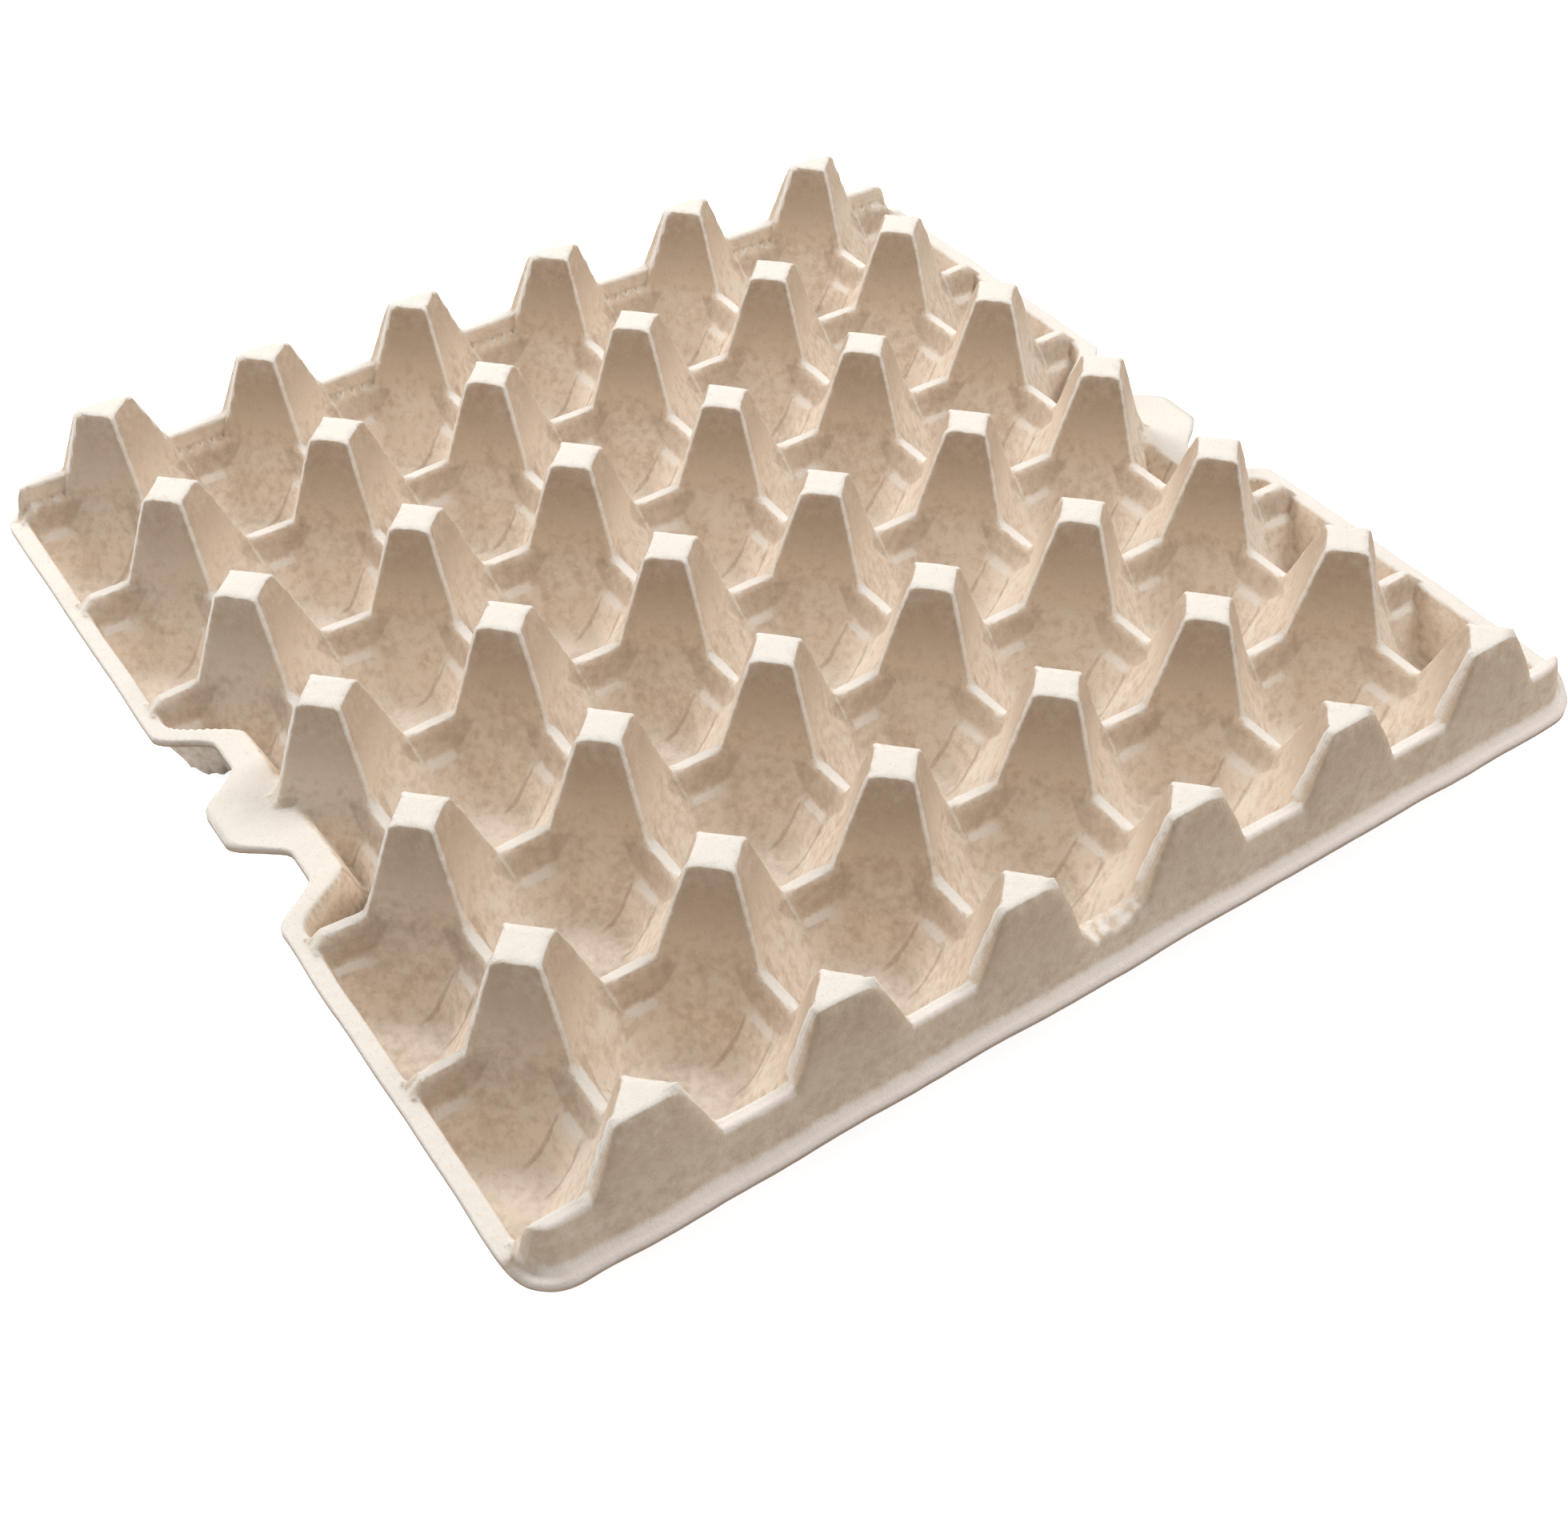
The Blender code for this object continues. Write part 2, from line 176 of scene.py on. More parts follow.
def cupRadii(angle):
    # distances from a cup's middle at which its surface changes, along a direction folded to
    # 0..45 degrees from a bar: cell side, post top or crest, bar edge, riser foot, ledge, floor.
    # A bar is a line across the direction at 0 degrees and a post's flat face is one across that
    # at 45 degrees, and the nearer of the two holds. The floor is a superellipse between the faces.
    s = trayShape
    cosine = np.cos(angle)
    facing = np.cos(math.pi / 4 - angle)
    aside = np.sin(math.pi / 4 - angle)
    side = halfPitch / cosine
    postEdge = (pitch - s["postTip"]) * math.sqrt(0.5) / facing
    crestEdge = (halfPitch - s["crestHalf"]) / cosine
    outer = np.minimum(postEdge, crestEdge)
    ridgeEnd = (pitch - s["ridgeFoot"]) * math.sqrt(0.5) / facing
    barEdge = np.minimum((halfPitch - s["barHalf"]) / cosine, ridgeEnd)
    riserFoot = np.minimum((halfPitch - s["riserFoot"]) / cosine, s["cupAtLedge"] / facing)
    ledgeInner = np.minimum((halfPitch - s["ledgeInner"]) / cosine, s["bowlReach"] / facing)
    power = s["floorPower"]
    floor = s["floorReach"] / (facing ** power + aside ** power) ** (1 / power)
    crest = crestDrop(halfPitch - halfPitch * np.tan(angle))
    outerDrop = np.where(postEdge < crestEdge, 0.0, crest)
    return [side, outer, barEdge, riserFoot, ledgeInner, floor], outerDrop


def cupDrop(acrossX, acrossY):
    # drop of one cup: straight stretches between the radii above, and a bowl that follows
    # floor - rise * share ^ bend
    s = trayShape
    far = np.maximum(acrossX, acrossY)
    near = np.minimum(acrossX, acrossY)
    radius = np.hypot(far, near)
    radii, outerDrop = cupRadii(np.arctan2(near, far))
    side, outer, barEdge, riserFoot, ledgeInner, floor = radii

    def share(start, end):
        return np.clip((radius - start) / (end - start), 0.0, 1.0)

    rise = s["floorDrop"] - s["ledgeDrop"] - s["ledgeFall"]
    drop = s["floorDrop"] - rise * share(floor, ledgeInner) ** s["bowlBend"]
    drop = drop - s["ledgeFall"] * share(ledgeInner, riserFoot)
    drop = drop - (s["ledgeDrop"] - s["barDrop"]) * share(riserFoot, barEdge)
    return drop - (s["barDrop"] - outerDrop) * share(barEdge, outer)


def besideTab(y):
    # 1 at the tab and 0 past its shoulders, with a smooth step between
    s = trayShape
    end = s["shoulderEnd"] + s["webBlend"] * s["webWidth"]
    return 1 - ease((y - s["scallopEnd"]) / (end - s["scallopEnd"]))


def rimInner(y):
    # inner edge of the left and right rims, drawn in beside the tab
    s = trayShape
    return rimInnerX - besideTab(y) * (rimInnerX - outlineX + s["scallopDepth"] + s["webWidth"])


def endWallRun(y):
    # run of the end walls: their own, and a longer one beside the tab
    s = trayShape
    return s["endWallRun"] + besideTab(y) * (s["tabWallRun"] - s["endWallRun"])


def flangeDrop(y):
    # level of the flange: a smooth step down round the corners to the front and back
    s = trayShape
    turned = (y - outlineY + s["outlineRadius"]) / (s["outlineRadius"] - s["flangeWidth"])
    return s["flangeDrop"] + (s["edgeFlangeDrop"] - s["flangeDrop"]) * ease(turned)


def edgeDrop(x, y):
    # drop along the outer edge: each cut post has a straight ridge on one side and on the other a
    # shoulder whose drop grows with the square of its run, no lower than the bars but for the tear
    s = trayShape
    nearest = np.clip(np.round((x + postReachX) / pitch), 0, s["columns"] - 1) * pitch - postReachX
    offset = x - nearest
    past = np.clip(offset - s["shoulderFrom"], 0.0, None)
    rounded = s["edgeBarDrop"] * (past / s["shoulderRun"]) ** 2
    edge = np.minimum(np.where(offset > 0, rounded, crestDrop(-offset)), s["edgeBarDrop"])
    return edge + np.where(y < 0, np.interp(x, s["tearX"], s["tearDrop"]), 0.0)


def sideEdge(y):
    # trimmed edge of the left and right sides: tab, scallop and shoulder as smooth steps of y
    s = trayShape
    shoulder = ease((y - s["scallopEnd"]) / (s["shoulderEnd"] - s["scallopEnd"]))
    tab = ease((s["tabRootHalf"] - y) / (s["tabRootHalf"] - s["tabTipHalf"]))
    reach = outlineX - s["scallopDepth"]
    return reach + s["scallopDepth"] * shoulder + (s["scallopDepth"] - s["tabShort"]) * tab


def topDrop(x, y):
    # drop of the upper face anywhere in plan: cups, then end walls and ramps, then the edge strip
    s = trayShape
    edge = edgeDrop(x, y)
    x = np.abs(x)
    y = np.abs(y)
    flange = flangeDrop(y)
    drop = cupDrop(fromCup(x, s["columns"]), fromCup(y, s["rows"]))

    slope = (s["floorDrop"] - flange) / endWallRun(y)
    drop = np.minimum(drop, flange + np.clip(rimInner(y) - x, 0.0, None) * slope)
    atTab = y < halfPitch * s["tabBarHalf"]
    rampStart = np.where(atTab, postReachX + s["ridgeFoot"], rimInnerX - s["barRamp"] / 2)
    rampRun = np.where(atTab, s["webRamp"], s["barRamp"])
    ramp = s["barDrop"] + (x - rampStart) * (flange - s["barDrop"]) / rampRun
    ramp = np.where(x > rampStart, np.minimum(ramp, flange), 0.0)
    drop = np.maximum(drop, ramp)

    crest = np.maximum(crestDrop(fromPost(x, s["columns"])), ramp)
    rise = np.clip((y - postReachY) / s["edgeRiser"], 0.0, 1.0)
    fall = np.clip((y - postReachY) / s["postCut"], 0.0, 1.0)
    strip = crest + np.where(edge < crest, rise, fall) * (edge - crest)
    pastX = np.maximum(x - (lipEndX - s["lipRadius"]), 0.0)
    pastY = np.maximum(y - (cutLineY - s["lipRadius"]), 0.0)
    outside = np.hypot(pastX, pastY) - s["lipRadius"]
    steep = s["edgeFlangeDrop"] / s["outerWallRun"]
    turned = np.clip(outside - strip / steep + s["lipRound"], 0.0, s["lipTurn"] * s["lipRound"])
    strip = strip + s["lipRound"] - np.sqrt(s["lipRound"] ** 2 - turned ** 2)
    strip = softLeast(np.maximum(strip, outside * steep), flange, s["wallFillet"])
    return np.where(y > postReachY, strip, drop)


def rosette(reaches, steps):
    # offsets in plan on a few circles round a point
    turns = np.arange(steps) * math.tau / steps
    return [(r * math.cos(a), r * math.sin(a), r) for r in reaches for a in turns]


def meanDrop(x, y, radius):
    # mean of the upper face's drop over a small disc, which rounds every edge
    f = trayFinish
    spots = rosette([share * radius for share in f["discReaches"]], f["discSteps"])
    total = topDrop(x, y) * f["discMiddle"]
    for dx, dy, reach in spots:
        total = total + topDrop(x + dx, y + dy)
    return total / (len(spots) + f["discMiddle"])


def underDrop(x, y):
    # underside: the lowest that a ball as thick as the wall reaches, rolled over the upper face
    wall = trayShape["wall"]
    lowest = topDrop(x, y) + wall
    reaches = [share * wall for share in trayFinish["ballReaches"]]
    for dx, dy, reach in rosette(reaches, trayFinish["ballSteps"]):
        ball = math.sqrt(max(wall * wall - reach * reach, 0.0))
        lowest = np.maximum(lowest, topDrop(x + dx, y + dy) + ball)
    return np.minimum(lowest, trayShape["floorDrop"] + wall)


def waves(x, y, length, seed):
    # smooth wandering between -1 and 1: the sum of sine waves in seeded directions, over half
    # their number
    f = trayFinish
    shortest, spread = f["waveSpread"]
    rng = np.random.default_rng(seed)
    total = np.zeros_like(x)
    for heading, phase, stretch in rng.uniform(0.0, 1.0, (f["waveCount"], 3)):
        along = x * math.cos(heading * math.tau) + y * math.sin(heading * math.tau)
        waveLength = length * (shortest + spread * stretch)
        total = total + np.sin(along * math.tau / waveLength + phase * math.tau)
    return np.clip(total / (f["waveCount"] / 2), -1.0, 1.0)


# How closely the skin is covered with points, in metres. Pairs are upper face, underside.
trayNet = {
    "outlineStep": 0.0011,
    "sideStep": (0.0011, 0.0020),
    "loopStep": (0.0014, 0.0022),
    "stripStep": (0.0012, 0.0024),
    "cupTurns": ((2, 3, 3, 2), (1, 1, 1, 2)),  # directions between a cup's marks
    # rings round a cup: place between its radii, and an offset outward in millimetres
    "rings": (
        ((0, 0), (0.5, 0), (1, 0.3), (1, 0), (1, -0.35), (1.35, 0), (1.7, 0), (2, 0.35), (2, 0),
         (2, -0.35), (2.5, 0), (3, 0.25), (3, 0), (3, -0.3), (4, 0.2), (4, -0.2), (4.12, 0),
         (4.35, 0), (4.6, 0), (4.85, 0), (5.1, 0), (5.5, 0), (6, 0)),
        ((0, 0), (0.6, 0), (1, 0), (1.5, 0), (2, 0), (2.5, 0), (3, 0), (3.6, 0), (4.3, 0),
         (4.75, 0), (5.1, 0), (6, 0)),
    ),
    "ringUnit": 0.001,
    "loopShares": ((0.0, 0.08, 0.18, 0.28, 0.38, 0.5, 0.7, 0.85), (0.0, 0.18, 0.38, 0.7)),
    "loopBack": 0.0025,  # how far the loops reach back past the outer row of posts
    "wallLines": (1.08, 0.8, 0.6, 0.4, 0.2, 0.0),  # shares of the end wall's run
    "stripLines": (0.5, 0.8),  # a share of the riser and of the posts' cut, and one of the cut only
    "rimSpan": 0.009,  # width that the rims' lines are spaced for
    "rimGap": 0.0006,
    "outlineGap": 0.0003,
    "merge": 0.00002,  # places in one square cell of this size are one
    "exact": 0.00000001,  # how exactly the triangles are worked out
    "nudge": 0.0003,  # half the length over which the slope is taken
    "levelSlope": 0.55,  # slope at which a place counts as level by little more than a third
    "levelFrom": 0.006,  # height at which level places begin to count, and over what rise
    "levelRise": 0.008,
}


def angleSteps(counts):
    # directions round a cup, closer together at bar ends, knees and post corners
    s = trayShape
    barEnd = math.atan((halfPitch - s["ridgeFoot"]) / halfPitch)
    knee = math.atan((halfPitch + s["barHalf"] - s["ridgeFoot"]) / (halfPitch - s["barHalf"]))
    tip = math.atan((halfPitch - s["postTip"]) / halfPitch)
    marks = [0.0, barEnd, knee, tip, math.pi / 4]
    octant = [np.linspace(a, b, n + 1)[:-1] for a, b, n in zip(marks, marks[1:], counts)]
    octant = np.concatenate(octant)
    quarter = np.concatenate([octant, [math.pi / 4], (math.pi / 2 - octant[1:])[::-1]])
    return np.concatenate([quarter + turn * math.pi / 2 for turn in range(4)])


def cupPlaces(counts, rings):
    # rings round every cup: each ring's radius is interpolated between the cup's own radii, then
    # moved outward by its own offset
    s = trayShape
    angles = angleSteps(counts)
    folded = np.abs(np.mod(angles + math.pi / 4, math.pi / 2) - math.pi / 4)
    radii, _ = cupRadii(folded)
    radii = np.stack(radii + [np.zeros_like(folded)])
    marks = np.arange(len(radii))
    reach = np.stack([np.interp(rings[:, 0], marks, column) for column in radii.T], axis=1)
    reach = np.clip(reach + rings[:, 1:] * trayNet["ringUnit"], 0.0, radii[0])
    middleX = (np.arange(s["columns"] + 1) - s["columns"] / 2) * pitch
    middleY = (np.arange(s["rows"] - 1) - (s["rows"] - 2) / 2) * pitch
    middleX, middleY = [m.reshape(-1, 1, 1) for m in np.meshgrid(middleX, middleY)]
    x = (middleX + reach * np.cos(angles)).ravel()
    y = (middleY + reach * np.sin(angles)).ravel()
    kept = np.abs(x) < rimInner(np.abs(y)) - trayNet["rimGap"]
    return np.stack([x[kept], y[kept]], axis=1)


def sidePlaces(step):
    # end walls and rims: lines beside the rim's inner edge, then shares of the way to the trimmed
    # edge
    stations = np.linspace(-postReachY, postReachY, 2 * round(postReachY / step) + 1)
    y, line = np.meshgrid(stations, np.array(trayNet["wallLines"]), indexing="ij")
    wall = rimInner(np.abs(y)) - line * endWallRun(np.abs(y))
    rimShares = np.linspace(0.0, 1.0, 2 + round(trayNet["rimSpan"] / step))[1:-1]
    y2, share = np.meshgrid(stations, rimShares, indexing="ij")
    inner = rimInner(np.abs(y2))
    rim = inner + share * (sideEdge(np.abs(y2)) - inner)
    x = np.concatenate([wall.ravel(), rim.ravel()])
    right = np.stack([x, np.concatenate([y.ravel(), y2.ravel()])], axis=1)
    return np.concatenate([right, right * [-1, 1]])


def loopPlaces(step, shares):
    # loops between the lip of the outer wall and the outline: each loop is a share of the way
    # between two rounded rectangles
    s = trayShape
    loops = []
    for share in shares:
        reachX = lipEndX + share * (outlineX - lipEndX)
        reachY = cutLineY + share * (outlineY - cutLineY)
        radius = s["lipRadius"] + share * (s["outlineRadius"] - s["lipRadius"])
        turn = np.linspace(0.0, math.pi / 2, 3 + round(radius * math.pi / 2 / step))
        arcX = reachX - radius + radius * np.cos(turn)
        arcY = reachY - radius + radius * np.sin(turn)
        flatX = np.linspace(0.0, reachX - radius, 2 + round(reachX / step))[:-1]
        flat = np.stack([flatX, np.full_like(flatX, reachY)], axis=1)
        loops.append(np.concatenate([flat, np.stack([arcX, arcY], axis=1)]))
    quarter = np.concatenate(loops)
    quarter = quarter[quarter[:, 1] > postReachY - trayNet["loopBack"]]
    return np.concatenate([quarter * [a, b] for a in (-1, 1) for b in (-1, 1)])


def stripPlaces(step):
    # lines along the edge bars, between the outer row of posts and the lip of the outer wall
    s = trayShape
    middle, last = trayNet["stripLines"]
    lines = postReachY + np.array([0.0, middle * s["edgeRiser"], s["edgeRiser"],
                                   middle * s["postCut"], last * s["postCut"]])
    x, y = np.meshgrid(np.linspace(-lipEndX, lipEndX, 2 * round(lipEndX / step) + 1), lines)
    upper = np.stack([x.ravel(), y.ravel()], axis=1)
    return np.concatenate([upper, upper * [1, -1]])


def outlinePlaces(step):
    # the trimmed outline, anticlockwise, sorted by its direction from the tray's middle
    corner = outlineY - trayShape["outlineRadius"]
    y = np.linspace(-corner, corner, 2 * round(corner / step) + 1)
    sides = np.stack([sideEdge(np.abs(y)), y], axis=1)
    loop = loopPlaces(step, (1.0,))
    loop = loop[np.abs(loop[:, 1]) > corner + 1e-6]
    places = np.concatenate([sides, sides * [-1, 1], loop])
    places = np.unique(np.round(places, 7), axis=0)
    return places[np.argsort(np.arctan2(places[:, 1], places[:, 0]))]


def insideOutline(places, margin):
    # true for places at least a margin inside the trimmed outline
    x = np.abs(places[..., 0])
    y = np.abs(places[..., 1])
    radius = trayShape["outlineRadius"]
    pastX = np.maximum(x - outlineX + radius, 0.0)
    corner = np.hypot(pastX, np.maximum(y - outlineY + radius, 0.0))
    return (x < sideEdge(y) - margin) & (y < outlineY - margin) & (corner < radius - margin)


def trianglesOver(places, border):
    # triangles over all the places inside the border loop, whose own points come first
    merged = np.concatenate([border, places[insideOutline(places, trayNet["outlineGap"])]])
    cells = np.round(merged / trayNet["merge"]).astype(np.int64)
    first = np.unique(cells, axis=0, return_index=True)[1]
    merged = merged[np.sort(first)]
    count = len(border)
    edges = np.stack([np.arange(count), np.roll(np.arange(count), -1)], axis=1)
    result = delaunay_2d_cdt(merged.tolist(), edges.tolist(), [], 0, trayNet["exact"], False)
    net = np.array(result[0])
    triangles = np.array(result[2])
    return net, triangles[insideOutline(net[triangles].mean(axis=1), 0.0)]


def netPlaces(side):
    # places in plan for one face's net: side 0 is the upper face and 1 the coarser underside
    n = trayNet
    return np.concatenate([cupPlaces(n["cupTurns"][side], np.array(n["rings"][side])),
                           sidePlaces(n["sideStep"][side]),
                           loopPlaces(n["loopStep"][side], n["loopShares"][side]),
                           stripPlaces(n["stripStep"][side])])


def levelness(net, soft):
    # 1 where the skin is flat, falling as exp(-(slope / limit)^2), and 0 low in the cups; the
    # material paints light on these flat places
    n = trayNet
    x, y = net.T
    nudge = n["nudge"]
    slopeX = meanDrop(x + nudge, y, nudge) - meanDrop(x - nudge, y, nudge)
    slopeY = meanDrop(x, y + nudge, nudge) - meanDrop(x, y - nudge, nudge)
    flat = np.exp(-(np.hypot(slopeX, slopeY) / (2 * nudge) / n["levelSlope"]) ** 2)
    return flat * ease((trayHeight - soft - n["levelFrom"]) / n["levelRise"])


def shapeTray():
    # upper face and underside as heights over two nets that share the outline, joined along it
    f = trayFinish
    border = outlinePlaces(trayNet["outlineStep"])
    top, topFaces = trianglesOver(netPlaces(0), border)
    under, underFaces = trianglesOver(netPlaces(1), border)
    print("net of", len(top), "and", len(under), "points,",
          len(topFaces) + len(underFaces), "triangles")

    def placed(net, drop):
        x, y = net.T
        height = trayHeight - drop + f["sag"] * (waves(x, y, f["sagLength"], f["sagSeed"]) - 1)
        height = height + f["lumps"] * (waves(x, y, f["lumpLength"], f["lumpSeed"]) - 1)
        driftX, driftY = [f["drift"] * waves(x, y, f["driftLength"], seed)
                          for seed in f["driftSeeds"]]
        x2 = x * (1 - f["edgeWander"] / outlineX) + driftX
        y2 = y * (1 - f["edgeWander"] / outlineY) + driftY
        x2 = np.clip(x2, trayLow[0], trayHigh[0])
        y2 = np.clip(y2, trayLow[1], trayHigh[1])
        return np.stack([x2, y2, np.clip(height, 0.0, trayHeight)], axis=1)

    soft = meanDrop(*top.T, f["softRadius"])
    # hollow: how far the skin lies below a wider mean, where the material paints shade
    hollow = soft - meanDrop(*top.T, f["creaseDiscRadius"])
    level = levelness(top, soft)
    topPoints = placed(top, soft)
    underPoints = placed(under, underDrop(*under.T))
    start = len(topPoints)
    ahead = np.arange(len(border))
    behind = np.roll(ahead, -1)
    side = np.concatenate([np.stack([ahead, ahead + start, behind], axis=1),
                           np.stack([behind, ahead + start, behind + start], axis=1)])
    points = np.concatenate([topPoints, underPoints])
    faces = np.concatenate([topFaces, underFaces[:, ::-1] + start, side])
    blank = np.zeros(len(underPoints))
    # trim: the underside's outline points, where the material paints a dark contact shadow
    trim = np.zeros(len(points))
    trim[start:start + len(border)] = 1.0
    both = np.concatenate([top, under])
    shades = {"hollow": np.concatenate([hollow, blank]), "level": np.concatenate([level, blank])}
    shades["trim"] = trim
    shades["alongX"] = both[:, 0] / pitch + (trayShape["columns"] - 1) / 2
    shades["alongY"] = both[:, 1] / pitch + (trayShape["rows"] - 1) / 2
    return points, faces, shades


def meshFromArrays(name, points, faces):
    # triangles into a mesh through whole arrays
    mesh = bpy.data.meshes.new(name)
    mesh.vertices.add(len(points))
    mesh.vertices.foreach_set("co", points.astype(np.float32).ravel())
    mesh.loops.add(faces.size)
    mesh.loops.foreach_set("vertex_index", faces.astype(np.int32).ravel())
    mesh.polygons.add(len(faces))
    mesh.polygons.foreach_set("loop_start", np.arange(0, faces.size, 3, dtype=np.int32))
    mesh.polygons.foreach_set("use_smooth", np.ones(len(faces), dtype=bool))
    mesh.update(calc_edges=True)
    mesh.validate()
    piece = bpy.data.objects.new(name, mesh)
    bpy.context.scene.collection.objects.link(piece)
    return piece


class Signal:
    # a node's output that takes part in sums: each operator adds one Math node

    def __init__(self, maker, socket):
        self.maker = maker
        self.socket = socket

    def math(self, operation, *values):
        sockets = dict(enumerate(values))
        return self.maker.signal("ShaderNodeMath", {"operation": operation}, sockets)

    def __add__(self, other):
        return self.math("ADD", self, other)

    def __sub__(self, other):
        return self.math("SUBTRACT", self, other)

    def __rsub__(self, other):
        return self.math("SUBTRACT", other, self)

    def __mul__(self, other):
        return self.math("MULTIPLY", self, other)

    __radd__ = __add__
    __rmul__ = __mul__

    def fold(self):
        # distance to the nearest whole number
        return self.math("PINGPONG", self, 0.5)

    def fraction(self):
        return self.math("FRACT", self)

    def least(self, other):
        return self.math("MINIMUM", self, other)

    def size(self):
        return self.math("ABSOLUTE", self)

    def between(self, low, high):
        # 0 below low and 1 above high, eased between
        return self.maker.signal("ShaderNodeMapRange",
                                 {"interpolation_type": "SMOOTHSTEP", "clamp": True},
                                 {"Value": self, "From Min": low, "From Max": high})

    def within(self, band):
        # rises over the first two numbers of the band and falls over the last two
        return self.between(*band[:2]) * (1 - self.between(*band[2:]))


class NodeMaker:
    # adds nodes to one material or world

    def __init__(self, tree):
        self.tree = tree
        tree.nodes.clear()

    def node(self, kind, settings=None, sockets=None):
        made = self.tree.nodes.new(kind)
        for name, value in (settings or {}).items():
            setattr(made, name, value)
        for name, value in (sockets or {}).items():
            if isinstance(value, Signal):
                value = value.socket
            if isinstance(value, bpy.types.NodeSocket):
                self.tree.links.new(value, made.inputs[name])
            else:
                made.inputs[name].default_value = value
        return made

    def signal(self, kind, settings=None, sockets=None, output=0):
        return Signal(self, self.node(kind, settings, sockets).outputs[output])

    def mixColour(self, share, first, second):
        sockets = {0: share, 6: first, 7: second}
        return self.node("ShaderNodeMix", {"data_type": "RGBA"}, sockets).outputs[2]


pulpLook = {
    "body": (0.800, 0.665, 0.520, 1.0),
    # pale: paler tone of random blotches and cross fibres, and also the painted light on flat tops,
    # ridges, ledges, edge-bar tops and riser sides
    "pale": (0.870, 0.800, 0.700, 1.0),
    # deep: darker brown of random blotches and specks, and also the painted shade on risers, in
    # creases and folds and along the trimmed lower edge
    "deep": (0.330, 0.215, 0.135, 1.0),
    "upper": (0.540, 0.400, 0.280, 1.0),  # painted shade, darker high on the posts
    "lower": (0.885, 0.785, 0.665, 1.0),  # painted bounce light, paler low in the cups
    "outside": (0.630, 0.475, 0.330, 1.0),  # painted shade, browner on the outer walls
    # flange: painted light, paler colour on the flat flange
    "flange": (0.930, 0.825, 0.740, 1.0),
    # patterns: waves to a metre, detail, roughness
    "grain": (1500.0, 4.0, 0.7),
    "flock": (420.0, 3.0, 0.55),
    "mottle": (150.0, 5.0, 0.65),
    "cloud": (22.0, 2.0, 0.5),
    "fibre": (2600.0, 2.0, 0.6),
    "crossFibre": (2100.0, 2.0, 0.6),
    "fibreStretch": (1.0, 0.25, 1.0),
    "crossStretch": (1.0, 0.22, 0.8),
    "crossTurn": (0.3, 0.5, 1.1),
    "blotches": (1.1, 0.6, 1.5),  # shares of mottle, cloud and flock
    # where each mark begins and is full, then where it fades and ends, in metres
    "ridgeLine": (0.00024, 0.00096),  # from the line of every ridge and bar
    "pastLastRow": (-0.0010, -0.0006),  # from the outer row of posts
    "pastCut": (-0.0012, -0.0005),  # from the line where the outer posts are cut
    "ontoWall": (-0.0003, 0.0002),
    "barTop": (0.0275, 0.0290),  # height of the edge bars
    "ledgeAcross": (0.0036, 0.0043, 0.0054, 0.0064),
    "ledgeHeight": (0.0120, 0.0134, 0.0148, 0.0162),
    "ledgeEnd": (0.0030, 0.0044),
    "riserAcross": (0.0012, 0.0024, 0.0038, 0.0046),
    "riserHeight": (0.0140, 0.0160, 0.0205, 0.0220),
    "sideLine": (0.8, -0.6, 0.00757),  # painted highlight down a riser's left side: two slopes and an offset
    "sideWidth": (0.0002, 0.0006),
    "sideReach": (0.0185, 0.0192, 0.0216, 0.0224),
    "sideHalf": (0.46, 0.50),  # share of a cell, so that only the left side has the line
    "foldAt": 0.0047,  # painted shade along a fold in X on the cups' faces, and how far it wanders
    "foldWander": 0.002,
    "foldWidth": (0.0002, 0.0007),
    "foldReach": (0.0070, 0.0100, 0.0170, 0.0182),
    "creaseDepth": (0.00005, 0.0004),
    "lowFrom": 0.030,  # height from which the painted bounce light is counted downward
    "lowBand": (0.004, 0.030),
    "lowBlotch": 0.012,
    "highBand": (0.024, 0.040),
    "highBlotch": 0.010,
    # values of the patterns, from 0 to 1, at which their specks begin and are full
    "grainSpeck": (0.28, 0.42),
    "fibreSpeck": (0.62, 0.75),
    "crossSpeck": (0.60, 0.78),
    # how strongly each mark is coloured
    "lowLightShare": 0.9,
    "highShadeShare": 0.7,
    "outsideShadeShare": 0.6,
    "blotchDeep": (-0.6, 0.06),  # slope and level
    "riserDeep": 0.3,
    "creaseDeep": 0.5,
    "foldDeep": 0.7,
    "levelPaintedLight": 1.05,
    "ridgePale": 0.75,
    "stripPale": 0.5,
    "ledgePale": 0.85,
    "sidePale": 0.55,
    "blotchPale": 0.7,
    "grainDeep": 0.3,
    "fibreDeep": 0.2,
    "crossPale": 0.4,
    "trimDeep": 0.8,
    # relief of grain, flock, mottle and the two fibres
    "relief": (0.5, 0.9, 0.8, 0.35, 0.35),
    "bumpStrength": 0.6,
    "bumpDepth": 0.00035,
    "roughness": 0.92,
    "roughSpread": 0.1,
    "shine": 0.15,
}


